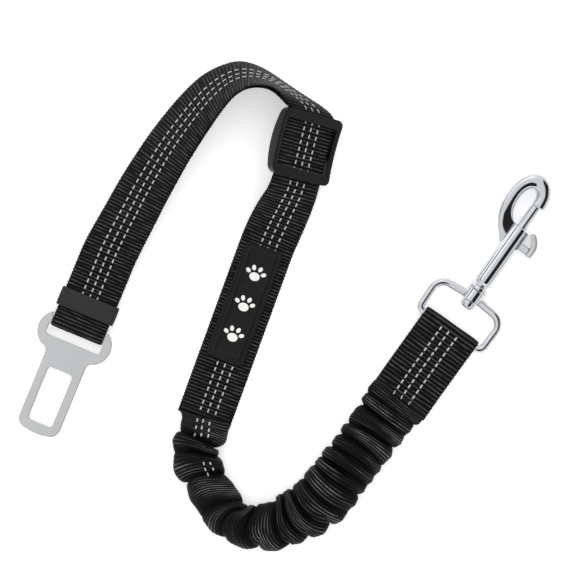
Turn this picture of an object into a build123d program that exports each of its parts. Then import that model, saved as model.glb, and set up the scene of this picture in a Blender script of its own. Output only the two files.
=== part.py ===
"""Dog seat belt tether: a buckle tongue on doubled webbing, a slide adjuster, an elastic section and a swivel snap.

The tether lies flat on a table in a loose loop. X and Y lie in the table top, Z points up, and the origin is
the middle of the outline on the table. All sizes are in millimetres.
"""

from build123d import *
from math import acos, atan2, cos, degrees, radians, sin
import os

# Webbing
strap_width = 25.0
strap_thickness = 1.3
layer_gap = 0.25
lift = 0.05  # everything that lies on the table starts this high
layer_offset = (layer_gap + strap_thickness) / 2  # from the middle of the doubled strap to the middle of a layer

# Buckle tongue: u runs along the blade, measured back from the bar that carries the strap
tongue_heading = 22.5  # degrees from +Y towards +X, from the tip to the strap
bar_x, bar_y = -92.5, -10.6
tongue_thickness = 2.5
bar_width = 2.8
slot_width = 26.0
slot_end = 7.5
head_width = 34.6
head_top = 2.8
neck_end = 15.4
blade_width = 19.6
blade_end = 50.8
window_width = 11.6
window_start, window_end = 20.6, 46.0
fold_clearance = 2.1
fold_length = 6.2

# Keeper band round both layers
keeper_station = 11.0  # from the tongue's bar, along the strap
keeper_length = 8.6
keeper_wall = 0.9
keeper_clearance = 0.3

# Slide adjuster, seen along its own strap direction
adjuster_x, adjuster_y = 9.0, 70.8
adjuster_heading = 14.0  # degrees from -Y towards -X
adjuster_roll = 30.0
adjuster_length = 30.0
rail_width = 2.1
rail_gap = 25.9
end_bar_width = 4.4
centre_bar_width = 5.0
centre_bar_top = -2.4
adjuster_travel = 7.0
# The rails rise and bow: their top and bottom at the ends and in the middle, from the middle of the strap.
rail_top_end, rail_top_middle = 3.3, 1.7
rail_bottom_end, rail_bottom_middle = -0.6, -4.7
frame_corner = 3.0

# Rubber label
patch_width, patch_length, patch_thickness = 17.6, 54.0, 1.3
patch_border = 0.7
label_heading = 20.0  # degrees from -Y towards -X
patch_x, patch_y = -17.9, 0.6

# Stitching thread
thread = 0.35

# Elastic section
cover_wall = 0.9
core_width, core_thickness = 11.0, 2.4

# Swivel snap: one axis runs through the end tab, the ring and the hook
snap_heading = 35.2  # degrees from +Y towards +X
snap_x, snap_y = 50.9, -43.9
snap_z = 4.8
tab_width = 28.4
tab_length = 40.2  # from the tab's sewn end to the ring's bar
ring_wire = 3.8
ring_width = 34.0  # between wire centres
ring_top = 58.2
hub_radius = 4.6
hub_start, hub_end = 55.9, 61.2
stud_radius = 2.2
running_clearance = 0.06
collar_start, collar_end = 61.5, 64.2
collar_radius = 4.7
barrel_end = 95.8
barrel_radius = 4.4
bore_radius = 2.75
bore_start = 67.0
plunger_radius = 2.35
plunger_start, plunger_end = 82.0, 107.6
nose_s = 107.9
hook_thickness = 6.4
hook_outside = [  # outline of the hook's bend, from the barrel round to the nose: across the snap and along it
    (-2.9, 84.0), (-6.0, 87.2), (-10.0, 91.4), (-13.4, 97.4), (-14.7, 105.0), (-13.4, 113.6),
    (-10.2, 118.4), (-5.4, 120.6), (-0.6, 119.0), (2.7, 115.0), (4.0, nose_s),
]
hook_inside = [
    (-2.3, nose_s), (-2.7, 111.2), (-4.5, 113.2), (-6.8, 112.3), (-8.2, 108.4), (-8.3, 103.6),
    (-6.6, 98.6), (-2.9, 95.4),
]
hook_rounding = 1.6
slot_start, slot_stop = 75.6, 91.2
knob_slot_width = 3.0
knob_neck = 3.4
knob_s = 88.8
knob_width = 8.0
knob_face = [(6.2, 97.2), (10.2, 93.4), (10.6, 86.6)]  # the thumb pad's outer and inner arcs
knob_back = [(8.4, 86.6), (7.9, 92.0), (4.9, 95.8)]
spring_wire = 0.5
spring_pitch = 1.9  # 8 turns: 4 mm when fully closed, and 5 mm are left behind the drawn bolt
spring_radius = 1.9


def heading_vector(angle):
    """A level unit vector, its angle in degrees from +Y towards +X."""
    return Vector(sin(radians(angle)), cos(radians(angle)), 0)


def strap_plane(point, direction, roll):
    """The plane of a strap's cross-section: Z along the strap, Y out of its upper face.

    The roll raises the edge on the right-hand side of the direction.
    """
    along = direction.normalized()
    right = along.cross(Vector(0, 0, 1)).normalized()
    up = right.cross(along)
    edge = right * cos(radians(roll)) + up * sin(radians(roll))
    return Plane(origin=point, x_dir=edge * -1, z_dir=along)


def directions(points):
    """The direction of a route at each of its points: along the line between the points on either side."""
    last = len(points) - 1
    return [points[min(i + 1, last)] - points[max(i - 1, 0)] for i in range(last + 1)]


tongue_u = heading_vector(tongue_heading)
tongue_side = Vector(tongue_u.Y, -tongue_u.X, 0)
bar_centre = Vector(bar_x, bar_y, lift + fold_clearance + strap_thickness)
strap_start = bar_centre + tongue_u * fold_length

adjuster_t = heading_vector(180 + adjuster_heading)
stack = 6.0 * cos(radians(adjuster_roll)) + (rail_gap / 2 + rail_width) * sin(radians(adjuster_roll))
adjuster_centre = Vector(adjuster_x, adjuster_y, lift + stack)  # middle of the strap inside the adjuster
adjuster_plane = strap_plane(adjuster_centre, adjuster_t, adjuster_roll)

# The two edges of the doubled strap's middle surface, from the tongue to the adjuster. Each row holds x and y
# of the raised edge inside the bend, x and y of the edge on the table, and how far that edge is off the table.
loop_route = [
    (-72.8, 4.4, -95.9, 14.0, 1.98),
    (-69.9, 11.4, -93.0, 21.0, 1.98),
    (-66.9, 18.7, -90.0, 28.2, 1.98),
    (-62.6, 27.2, -85.0, 37.0, 1.2),
    (-58.0, 36.0, -79.6, 46.4, 0.3),
    (-53.5, 45.0, -74.1, 56.2, 0),
    (-48.7, 53.8, -67.7, 66.2, 0),
    (-43.8, 62.6, -61.0, 76.2, 0),
    (-38.7, 70.8, -53.7, 85.6, 0),
    (-33.6, 78.2, -46.0, 94.6, 0),
    (-28.6, 85.2, -37.4, 102.8, 0),
    (-23.8, 91.2, -29.0, 107.2, 0),
    (-19.2, 94.8, -20.6, 109.5, 0),
    (-14.6, 96.4, -13.2, 107.6, 0),
    (-10.6, 96.6, -6.8, 104.2, 0),
    (-7.4, 96.2, -1.2, 100.2, 0),
    (-4.8, 95.0, 4.6, 96.2, 0.4),
    (-2.4, 93.0, 10.6, 92.2, 1.4),
    (-0.4, 91.0, 16.8, 88.2, 3.0),
]
fan = {9: 0.3, 10: 0.6, 11: 0.9, 12: 1.1, 13: 1.1, 14: 0.9, 15: 0.6, 16: 0.3}  # lower layer creeps outwards
fan_most = 1.2


def edge_pair(row):
    """The raised and the lower edge of one row, a strap's width apart."""
    inner_x, inner_y, outer_x, outer_y, above = row
    spread = Vector(inner_x - outer_x, inner_y - outer_y, 0)
    roll = acos(min(1, spread.length / strap_width))
    low = lift + above + fan_most * sin(roll) + (strap_thickness + layer_gap / 2) * cos(roll)
    middle = Vector((inner_x + outer_x) / 2, (inner_y + outer_y) / 2, low + strap_width / 2 * sin(roll))
    half = (spread.normalized() * cos(roll) + Vector(0, 0, sin(roll))) * (strap_width / 2)
    return middle + half, middle - half


straight_start = adjuster_centre - adjuster_plane.y_dir * layer_offset - adjuster_t * (adjuster_length / 2 + 0.5)
loop_edges = [(strap_start + tongue_side * (strap_width / 2), strap_start - tongue_side * (strap_width / 2))]
loop_edges += [edge_pair(row) for row in loop_route]
loop_edges.append((straight_start - adjuster_plane.x_dir * (strap_width / 2),
                   straight_start + adjuster_plane.x_dir * (strap_width / 2)))
loop_points = [(inner + outer) * 0.5 for inner, outer in loop_edges]
loop_directions = directions(loop_points)
loop_directions[0] = tongue_u
loop_directions[-1] = adjuster_t


def loop_plane(i, side):
    """Section plane of the upper (side 1) or the lower (side -1) layer at a point of the loop."""
    inner, outer = loop_edges[i]
    across = (inner - outer).normalized()
    along = (loop_directions[i] - across * loop_directions[i].dot(across)).normalized()
    slip = fan.get(i - 1, 0) if side < 0 else 0
    origin = loop_points[i] + across.cross(along) * (side * layer_offset) - across * slip
    return Plane(origin=origin, x_dir=across * -1, z_dir=along)


# The strap leaves the adjuster, settles onto the table and runs straight to the elastic section.
label_t = heading_vector(180 + label_heading)
settle_route = [
    (0.4, 44.2, 8.6, 20),
    (-2.4, 38.6, 5.0, 11),
    (-5.2, 32.8, 2.2, 3),
]
label_z = lift + strap_thickness / 2
label_start = Vector(-7.6, 27.4, label_z)
label_end = Vector(-36.4, -51.6, label_z)
run_points = [adjuster_centre + adjuster_t * (adjuster_length / 2 + adjuster_travel)]
run_rolls = [adjuster_roll]
for x, y, z, roll in settle_route:
    run_points.append(Vector(x, y, z))
    run_rolls.append(roll)
run_points += [label_start, label_end]
run_rolls += [0, 0]
run_directions = directions(run_points)
run_directions[0] = adjuster_t
run_directions[-1] = run_directions[-2] = label_end - label_start

# ---------------------------------------------------------------- buckle tongue
tip_drop = degrees(atan2(bar_centre.Z - tongue_thickness / 2 - lift, blade_end))
tongue_back = (tongue_u * -cos(radians(tip_drop)) + Vector(0, 0, -sin(radians(tip_drop)))).normalized()
tongue_plane = Plane(origin=bar_centre, x_dir=tongue_side * -1, z_dir=(tongue_side * -1).cross(tongue_back))

with BuildPart() as belt_tongue:
    with BuildSketch(tongue_plane.offset(-tongue_thickness / 2)):
        with BuildLine():
            half, blade = head_width / 2, blade_width / 2
            Line((0, -head_top), (half - 3.6, -head_top))
            ThreePointArc((half - 3.6, -head_top), (half, 5.4), (half - 4.6, 12.4))
            ThreePointArc((half - 4.6, 12.4), (blade + 0.8, 13.4), (blade, neck_end))
            Line((blade, neck_end), (blade, blade_end - 5))
            ThreePointArc((blade, blade_end - 5), (blade - 1.6, blade_end - 1.6), (blade - 5, blade_end - 0.5))
            ThreePointArc((blade - 5, blade_end - 0.5), (2.5, blade_end), (0, blade_end))
            Line((0, blade_end), (0, -head_top))
        make_face()
        mirror(about=Plane.YZ)
        with Locations((0, (slot_end + bar_width / 2) / 2)):
            RectangleRounded(slot_width, slot_end - bar_width / 2, 1.5, mode=Mode.SUBTRACT)
        with Locations((0, -bar_width / 2 - head_top / 2)):
            Rectangle(slot_width, head_top, mode=Mode.SUBTRACT)
        with Locations((0, (window_start + window_end) / 2)):
            RectangleRounded(window_width, window_end - window_start, 1.6, mode=Mode.SUBTRACT)
    extrude(amount=tongue_thickness)
belt_tongue.part.label = "belt_tongue"

# ---------------------------------------------------------------- webbing
with BuildPart() as tongue_fold:
    with BuildSketch(Plane(origin=bar_centre, x_dir=tongue_u, z_dir=tongue_side)):
        near, far = layer_gap / 2, layer_gap / 2 + strap_thickness
        outer = fold_clearance + strap_thickness
        with BuildLine():
            Polyline((0, outer), (fold_length, far), (fold_length, near), (0, fold_clearance))
            ThreePointArc((0, fold_clearance), (-fold_clearance, 0), (0, -fold_clearance))
            Polyline((0, -fold_clearance), (fold_length, -near), (fold_length, -far), (0, -outer))
            ThreePointArc((0, -outer), (-outer, 0), (0, outer))
        make_face()
    extrude(amount=strap_width / 2, both=True)
tongue_fold.part.label = "tongue_fold"

with BuildPart() as loop_webbing:
    for i in range(len(loop_points)):
        with BuildSketch(loop_plane(i, 1)):
            Rectangle(strap_width, strap_thickness)
    loft(ruled=True)
loop_webbing.part.label = "loop_webbing"

with BuildPart() as return_webbing:
    for i in range(len(loop_points)):
        with BuildSketch(loop_plane(i, -1)):
            Rectangle(strap_width, strap_thickness)
    loft(ruled=True)
return_webbing.part.label = "return_webbing"

with BuildPart() as adjuster_webbing:
    straight = adjuster_length + adjuster_travel + 0.5
    with BuildSketch(adjuster_plane.offset(-adjuster_length / 2 - 0.5)):
        Rectangle(strap_width, strap_thickness)
    extrude(amount=straight)
adjuster_webbing.part.label = "adjuster_webbing"

with BuildPart() as label_webbing:
    for point, direction, roll in zip(run_points, run_directions, run_rolls):
        with BuildSketch(strap_plane(point, direction, roll)):
            Rectangle(strap_width, strap_thickness)
    loft(ruled=True)
label_webbing.part.label = "label_webbing"

# ---------------------------------------------------------------- keeper
keeper_centre = bar_centre + tongue_u * keeper_station
with BuildPart() as strap_keeper:
    inner_height = 2 * strap_thickness + layer_gap + 2 * keeper_clearance
    inner_width = strap_width + 2 * keeper_clearance
    with BuildSketch(Plane(origin=keeper_centre, x_dir=tongue_side * -1, z_dir=tongue_u)):
        RectangleRounded(inner_width + 2 * keeper_wall, inner_height + 2 * keeper_wall, 1.0)
        Rectangle(inner_width, inner_height, mode=Mode.SUBTRACT)
    extrude(amount=keeper_length / 2, both=True)
strap_keeper.part.label = "strap_keeper"

# ---------------------------------------------------------------- slide adjuster
# Local axes of the frame: x across the strap, y out of its face, z along it, down the run.
half_length = adjuster_length / 2
side_plane = Plane(origin=adjuster_centre, x_dir=adjuster_t, z_dir=adjuster_plane.x_dir * -1)
plan_plane = Plane(origin=adjuster_centre, x_dir=adjuster_plane.x_dir, z_dir=adjuster_plane.y_dir)

with BuildPart() as slide_adjuster:
    with BuildSketch(side_plane):
        with BuildLine():
            ThreePointArc((-half_length, rail_top_end), (0, rail_top_middle), (half_length, rail_top_end))
            Line((half_length, rail_top_end), (half_length, rail_bottom_end))
            ThreePointArc((half_length, rail_bottom_end), (0, rail_bottom_middle),
                          (-half_length, rail_bottom_end))
            Line((-half_length, rail_bottom_end), (-half_length, rail_top_end))
        make_face()
    extrude(amount=rail_gap / 2 + rail_width, both=True)
    fillet(slide_adjuster.edges().filter_by(Axis((0, 0, 0), adjuster_plane.y_dir)), radius=frame_corner)
    with BuildSketch(plan_plane.offset(-6)):
        opening = half_length - end_bar_width
        for side in (-1, 1):
            with Locations((0, side * (opening + centre_bar_width / 2) / 2)):
                Rectangle(rail_gap, opening - centre_bar_width / 2)
    extrude(amount=12, mode=Mode.SUBTRACT)
    with BuildSketch(plan_plane.offset(centre_bar_top)):
        Rectangle(rail_gap, centre_bar_width + 1)
    extrude(amount=6, mode=Mode.SUBTRACT)
    with BuildSketch(plan_plane.offset(strap_thickness / 2 + 0.2)):
        for side in (-1, 1):
            with Locations((0, side * half_length)):
                Rectangle(rail_gap, 2 * end_bar_width)
    extrude(amount=-8, mode=Mode.SUBTRACT)
slide_adjuster.part.label = "slide_adjuster"

# The webbing's sewn end goes round the centre bar and is stitched to itself.
bar_half = (centre_bar_top - rail_bottom_middle) / 2
loop_plane_side = Plane(origin=adjuster_centre + adjuster_plane.y_dir * (centre_bar_top - bar_half),
                        x_dir=adjuster_t, z_dir=adjuster_plane.x_dir * -1)
with BuildPart() as sewn_loop:
    upper_top = -(strap_thickness / 2 + layer_gap) - (centre_bar_top - bar_half)
    upper_bottom = upper_top - strap_thickness
    turn = 1.8
    with BuildSketch(loop_plane_side):
        with BuildLine():
            Polyline((turn, upper_top), (-half_length - 0.5, upper_top), (-half_length - 0.5, upper_bottom),
                     (turn, upper_bottom))
            ThreePointArc((turn, upper_bottom), (turn + upper_bottom, 0), (turn, -upper_bottom))
            Polyline((turn, -upper_bottom), (-2.6, -upper_bottom), (-6.4, upper_bottom - 0.05),
                     (-half_length + 1.5, upper_bottom - 0.05),
                     (-half_length + 1.5, upper_bottom - 0.05 - strap_thickness),
                     (-6.9, upper_bottom - 0.05 - strap_thickness), (-2.9, -upper_top), (turn, -upper_top))
            ThreePointArc((turn, -upper_top), (turn + upper_top, 0), (turn, upper_top))
        make_face()
    extrude(amount=strap_width / 2, both=True)
sewn_loop.part.label = "sewn_loop"

# ---------------------------------------------------------------- label
patch_t = heading_vector(180 + label_heading)
patch_side = Vector(patch_t.Y, -patch_t.X, 0)
patch_z = label_z + strap_thickness / 2 + 0.02
patch_plane = Plane(origin=(patch_x, patch_y, patch_z), x_dir=patch_side, z_dir=(0, 0, 1))

with BuildPart() as label_patch:
    with BuildSketch(patch_plane):
        RectangleRounded(patch_width, patch_length, 1.2)
    extrude(amount=patch_thickness)
    with BuildSketch(patch_plane.offset(patch_thickness)):
        RectangleRounded(patch_width - 5.0, patch_length - 5.0, 1.0)
        RectangleRounded(patch_width - 5.0 - 2 * patch_border, patch_length - 5.0 - 2 * patch_border, 0.7,
                         mode=Mode.SUBTRACT)
    extrude(amount=0.35)
label_patch.part.label = "label_patch"

with BuildPart() as paw_prints:
    with BuildSketch(patch_plane.offset(patch_thickness + 0.02)):
        with GridLocations(0, 14.5, 1, 3):
            with Locations((0, -1.6)):
                Ellipse(2.5, 2.0)
            for angle in (28, 68, 112, 152):
                with Locations((4.1 * cos(radians(angle)), -1.6 + 4.1 * sin(radians(angle)))):
                    Ellipse(0.95, 1.3, rotation=angle - 90)
    extrude(amount=0.35)
paw_prints.part.label = "paw_prints"

# ---------------------------------------------------------------- elastic section
# Gathered cover: x, y, width and height of the flattened tube.
cover_route = [
    (-36.45, -51.75, 25.0, 3.2),
    (-38.4, -60.0, 19.5, 8.6),
    (-39.0, -68.0, 20.6, 9.6),
    (-36.8, -76.4, 19.8, 9.8),
    (-32.8, -84.8, 19.6, 10.0),
    (-26.6, -93.0, 20.2, 10.4),
    (-17.4, -98.8, 20.4, 10.8),
    (-6.6, -99.4, 22.6, 11.0),
    (4.0, -95.6, 24.0, 11.4),
    (13.2, -88.8, 25.0, 11.6),
    (20.8, -81.0, 25.6, 11.6),
    (27.6, -72.8, 25.0, 11.0),
    (34.0, -64.4, 23.6, 10.4),
    (40.0, -56.6, 23.8, 9.6),
    (46.0, -49.6, 25.6, 6.4),
    (snap_x, snap_y, tab_width, 3.2),
]
cover_points = [Vector(x, y, lift + height / 2) for x, y, width, height in cover_route]
cover_directions = directions(cover_points)
cover_directions[0] = label_end - label_start
cover_directions[-1] = heading_vector(snap_heading)


def tube_section(width, height):
    """A flattened eight-sided tube section."""
    points = [(0.5, 0.16), (0.34, 0.5), (-0.34, 0.5), (-0.5, 0.16)]
    points += [(-0.5, -0.16), (-0.34, -0.5), (0.34, -0.5), (0.5, -0.16)]
    return Polygon(*[(x * width, y * height) for x, y in points], align=None)


def cover_sections(shrink):
    """The sections of the cover's tube along its route, made smaller all round."""
    sections = []
    for point, direction, (x, y, width, height) in zip(cover_points, cover_directions, cover_route):
        with BuildSketch(strap_plane(point, direction, 0)) as section:
            tube_section(width - 2 * shrink, height - 2 * shrink)
        sections.append(section.sketch)
    return sections


with BuildPart() as bungee_cover:
    loft(cover_sections(0), ruled=True)
    loft(cover_sections(cover_wall), ruled=True, mode=Mode.SUBTRACT)
bungee_cover.part.label = "bungee_cover"

with BuildPart() as bungee_core:
    for point, direction in list(zip(cover_points, cover_directions))[1:-1]:
        with BuildSketch(strap_plane(point, direction, 0)):
            Rectangle(core_width, core_thickness)
    loft(ruled=True)
bungee_core.part.label = "bungee_core"

# ---------------------------------------------------------------- end tab and ring
# Local axes of the snap: x across it, y along it from the sewn end of the tab, z up.
snap_axis = heading_vector(snap_heading)
snap_side = Vector(snap_axis.Y, -snap_axis.X, 0)
snap_plane = Plane(origin=(snap_x, snap_y, snap_z), x_dir=snap_side, z_dir=(0, 0, 1))


def snap_section(station):
    """A plane square across the snap's axis."""
    return Plane(origin=snap_plane.origin + snap_axis * station, x_dir=snap_side, z_dir=snap_axis)


ring_bar = snap_plane.origin + snap_axis * tab_length
with BuildPart() as end_webbing:
    with BuildSketch(Plane(origin=ring_bar, x_dir=snap_axis * -1, z_dir=snap_side)):
        outer = fold_clearance + strap_thickness
        layers = strap_thickness + 0.1
        drop = lift + layers - snap_z
        with BuildLine():
            Polyline((0, outer), (11, -1 + layers), (24, drop + layers), (tab_length - 0.2, drop + layers),
                     (tab_length - 0.2, drop - layers), (24, drop - layers), (11, -1 - layers), (0, -outer))
            ThreePointArc((0, -outer), (-outer, 0), (0, outer))
        make_face()
        Circle(fold_clearance, mode=Mode.SUBTRACT)
        Polygon((0, fold_clearance), (9.5, -0.8), (0, -fold_clearance), align=None, mode=Mode.SUBTRACT)
    extrude(amount=tab_width / 2, both=True)
end_webbing.part.label = "end_webbing"

with BuildPart() as d_ring:
    with BuildLine(snap_plane) as ring_path:
        half, shoulder = ring_width / 2, 1.4
        FilletPolyline(
            (half, tab_length), (half + 0.4, ring_top - shoulder), (0, ring_top),
            (-half - 0.4, ring_top - shoulder), (-half, tab_length),
            radius=[2.7, 6.0, 20.0, 6.0, 2.7], close=True,
        )
    with BuildSketch(Plane(origin=ring_path.line @ 0, z_dir=ring_path.line % 0)):
        Circle(ring_wire / 2)
    sweep(path=ring_path.line)
    with BuildSketch(snap_section(hub_start)):
        Circle(hub_radius)
    extrude(amount=hub_end - hub_start)
    with BuildSketch(snap_section(hub_start - 3)):
        Circle(stud_radius + running_clearance)
    extrude(amount=hub_end - hub_start + 6, mode=Mode.SUBTRACT)
d_ring.part.label = "d_ring"

# ---------------------------------------------------------------- hook
with BuildPart() as swivel_stud:
    with BuildSketch(snap_plane):
        with BuildLine():
            Polyline((0, collar_start), (stud_radius, collar_start), (stud_radius, hub_start - 0.3),
                     (3.4, hub_start - 0.3), (3.4, 54.0))
            ThreePointArc((3.4, 54.0), (2.9, 52.8), (1.6, 52.2))
            Polyline((1.6, 52.2), (0, 52.2), (0, collar_start))
        make_face()
    revolve(axis=Axis(snap_plane.origin, snap_axis))
swivel_stud.part.label = "swivel_stud"

with BuildPart() as hook_body:
    with BuildSketch(snap_plane):
        with BuildLine():
            Spline(*hook_outside)
            Line(hook_outside[-1], hook_inside[0])
            Spline(*hook_inside)
            Line(hook_inside[-1], hook_outside[0])
        make_face()
    extrude(amount=hook_thickness / 2, both=True)
    fillet(hook_body.faces().filter_by(Axis.Z).edges().filter_by(GeomType.BSPLINE), radius=hook_rounding)
    with BuildSketch(snap_plane):
        Polygon((0, collar_start), (collar_radius, collar_start), (collar_radius, 63.2), (3.5, 64.2),
                (barrel_radius, 66.4), (barrel_radius, barrel_end - 0.7), (barrel_radius - 0.7, barrel_end),
                (0, barrel_end), align=None)
    revolve(axis=Axis(snap_plane.origin, snap_axis))
    with BuildSketch(snap_section(bore_start)):
        Circle(bore_radius)
    extrude(amount=nose_s - bore_start, mode=Mode.SUBTRACT)
    with BuildSketch(snap_plane):
        with Locations((3.5, (slot_start + slot_stop) / 2)):
            RectangleRounded(7.0, slot_stop - slot_start, 1.0)
    extrude(amount=knob_slot_width / 2, both=True, mode=Mode.SUBTRACT)
hook_body.part.label = "hook_body"

with BuildPart() as plunger_pin:
    with BuildSketch(snap_section(plunger_start)):
        Circle(plunger_radius)
    extrude(amount=plunger_end - plunger_start)
    chamfer(plunger_pin.faces().sort_by(Axis(snap_plane.origin, snap_axis))[-1].edges(), length=0.4)
plunger_pin.part.label = "plunger_pin"

with BuildPart() as thumb_knob:
    with BuildSketch(snap_plane):
        with Locations((5.3, knob_s)):
            Rectangle(7.6, knob_neck)
    extrude(amount=1.2, both=True)
    with BuildSketch(snap_plane):
        with BuildLine():
            ThreePointArc(*knob_face)
            Line(knob_face[-1], knob_back[0])
            ThreePointArc(*knob_back)
            Line(knob_back[-1], knob_face[0])
        make_face()
    extrude(amount=knob_width / 2, both=True)
    with BuildSketch(snap_section(plunger_start)):
        Circle(plunger_radius)
    extrude(amount=plunger_end - plunger_start, mode=Mode.SUBTRACT)
thumb_knob.part.label = "thumb_knob"

with BuildPart() as plunger_spring:
    with BuildLine():
        coil = Helix(pitch=spring_pitch, height=plunger_start - bore_start - 0.8, radius=spring_radius,
                     center=snap_plane.origin + snap_axis * (bore_start + 0.4), direction=snap_axis)
    with BuildSketch(Plane(origin=coil @ 0, z_dir=coil % 0)):
        Circle(spring_wire / 2)
    sweep(path=coil, is_frenet=True)
plunger_spring.part.label = "plunger_spring"

# ---------------------------------------------------------------- stitching
def bar_tack(plane, width):
    """A close zigzag of thread: a row of short slanted bars."""
    with BuildSketch(plane) as row:
        with GridLocations(1.0, 0, width, 1):
            Rectangle(0.45, 1.9, rotation=18)
    return row.sketch


label_side = Vector(label_t.Y, -label_t.X, 0)
tack_origin = label_end - label_t * 3.0 + Vector(0, 0, strap_thickness / 2 + 0.01)
with BuildPart() as cover_tack:
    extrude(bar_tack(Plane(origin=tack_origin, x_dir=label_side, z_dir=(0, 0, 1)), 22), amount=thread)
cover_tack.part.label = "cover_tack"

with BuildPart() as tab_tack:
    tack_height = lift + 2 * strap_thickness + 0.21 - snap_z
    tack_plane = Plane(origin=snap_plane.origin + snap_axis * 3.0 + Vector(0, 0, tack_height),
                       x_dir=snap_side, z_dir=(0, 0, 1))
    extrude(bar_tack(tack_plane, 26), amount=thread)
tab_tack.part.label = "tab_tack"

with BuildPart() as loop_tack:
    tail_level = -(strap_thickness / 2 + layer_gap) - 2 * strap_thickness - 0.06
    tail_plane = Plane(origin=adjuster_centre + adjuster_t * -11.0 + adjuster_plane.y_dir * tail_level,
                       x_dir=adjuster_plane.x_dir, z_dir=adjuster_plane.y_dir * -1)
    extrude(bar_tack(tail_plane, 22), amount=thread)
loop_tack.part.label = "loop_tack"

parts = [
    belt_tongue, strap_keeper, tongue_fold, loop_webbing, return_webbing, adjuster_webbing, label_webbing,
    slide_adjuster, sewn_loop, loop_tack, label_patch, paw_prints, cover_tack, bungee_cover, bungee_core,
    tab_tack, end_webbing, d_ring, swivel_stud, hook_body, plunger_pin, thumb_knob, plunger_spring,
]
os.makedirs("parts", exist_ok=True)
for piece in parts:
    export_step(piece.part, f"parts/{piece.part.label}.step")
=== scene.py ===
"""Dog seat belt tether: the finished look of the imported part.

Run as a script, it lays webbing, a gathered elastic cover, a rubber label and metal finishes round the fixed
CAD frame. The code works in millimetres and turns them into metres when a mesh is made.
"""

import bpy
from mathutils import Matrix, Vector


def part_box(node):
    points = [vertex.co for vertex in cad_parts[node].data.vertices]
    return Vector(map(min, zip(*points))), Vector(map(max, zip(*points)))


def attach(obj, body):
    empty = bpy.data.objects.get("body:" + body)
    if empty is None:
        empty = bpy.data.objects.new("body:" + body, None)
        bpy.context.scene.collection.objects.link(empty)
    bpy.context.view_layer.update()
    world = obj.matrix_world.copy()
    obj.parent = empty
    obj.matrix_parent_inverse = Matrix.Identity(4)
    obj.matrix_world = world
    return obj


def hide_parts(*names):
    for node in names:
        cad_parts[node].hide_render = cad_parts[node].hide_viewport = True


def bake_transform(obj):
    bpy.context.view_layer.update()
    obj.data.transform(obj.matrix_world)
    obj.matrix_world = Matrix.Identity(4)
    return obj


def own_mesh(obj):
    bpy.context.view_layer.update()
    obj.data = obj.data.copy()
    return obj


bl_info = {
    "name": "Seat Belt Tether",
    "version": (1, 0, 0),
    "blender": (4, 5, 0),
    "location": "3D View > Sidebar > Tether",
    "description": "Lays webbing, an elastic cover, a label and metal finishes on a dog seat belt tether",
    "category": "Object",
}

import bpy
import numpy as np
from bpy.props import FloatProperty, FloatVectorProperty, PointerProperty
from mathutils import Matrix

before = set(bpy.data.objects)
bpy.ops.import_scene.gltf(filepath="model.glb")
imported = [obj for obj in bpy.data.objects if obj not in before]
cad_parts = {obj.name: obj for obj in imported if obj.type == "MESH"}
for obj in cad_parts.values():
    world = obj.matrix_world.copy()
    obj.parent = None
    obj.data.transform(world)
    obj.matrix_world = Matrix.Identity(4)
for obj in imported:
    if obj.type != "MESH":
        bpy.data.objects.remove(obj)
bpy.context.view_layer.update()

UP = np.array([0.0, 0.0, 1.0])
LAYER_OFFSET = 0.775  # from the middle of the doubled strap to the middle of one layer
LIFT = 0.05  # room between the floor and the lowest webbing
HALF_STRAP = 12.5  # half the strap's width
HALF_STACK = 1.425  # half the doubled strap's thickness
EDGE_ROOM = 1.2  # what the doubled strap needs below it when it stands on its edge
FOLD_RADIUS = 2.1  # inside of the webbing's fold round the tongue's bar and round the ring
BENEATH = 0.25  # gap between the strap and the loop sewn under it, inside the adjuster
DASH_ROWS = (-2.9, 0.6, 4.2)  # the strap's three reflective threads, across it from its middle
TAB_DASH_ROWS = (-3.9, 0.0, 4.4)  # the same on the end tab
WAVE_PERIOD = 0.3142  # the distance between two bands of a wave texture at scale one
WARP_PITCH = 0.42  # the distance between two warp threads


def linear(code):
    """An sRGB hex colour as linear red, green, blue and alpha."""
    values = np.array([int(code[i:i + 2], 16) for i in (1, 3, 5)]) / 255
    return (*np.where(values <= 0.04045, values / 12.92, ((values + 0.055) / 1.055) ** 2.4), 1.0)


def colour_property(name, code, description):
    """A colour setting that shows the given sRGB hex colour."""
    return FloatVectorProperty(name=name, description=description, default=linear(code)[:3], subtype="COLOR",
                               size=3, min=0, max=1)


def length_property(name, metres, description):
    """A length setting."""
    return FloatProperty(name=name, description=description, default=metres, unit="LENGTH")


class TetherWebbing(bpy.types.PropertyGroup):
    """The strap, its reflective thread and its sewing thread."""

    width: length_property("Width", 0.025, "Width of the webbing")
    thickness: length_property("Thickness", 0.0013, "Thickness of one layer")
    rib_pitch: length_property("Rib Pitch", 0.00155, "Distance from one woven rib to the next")
    rib_height: length_property("Rib Height", 0.00024, "How far a rib stands out")
    yarn: colour_property("Yarn", "#070708", "Colour of the webbing yarn")
    dash: colour_property("Reflective Thread", "#B9BABB", "Colour of the reflective thread")
    thread: colour_property("Sewing Thread", "#0A0A0B", "Colour of the sewing thread")


class TetherCover(bpy.types.PropertyGroup):
    """The gathered cover of the elastic section."""

    rib_pitch: length_property("Rib Pitch", 0.0014, "Distance between ribs of the gathered cover")
    pleat_depth: length_property("Pleat Depth", 0.0030, "How far a pleat rises over its creases")
    yarn: colour_property("Yarn", "#070708", "Colour of the cover yarn")


class TetherLabel(bpy.types.PropertyGroup):
    """The rubber label and its print."""

    border: length_property("Border", 0.0008, "Width of the raised border")
    rubber: colour_property("Rubber", "#0D0D0E", "Colour of the moulded rubber")
    print: colour_property("Print", "#ECECE8", "Colour of the paw prints")


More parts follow.
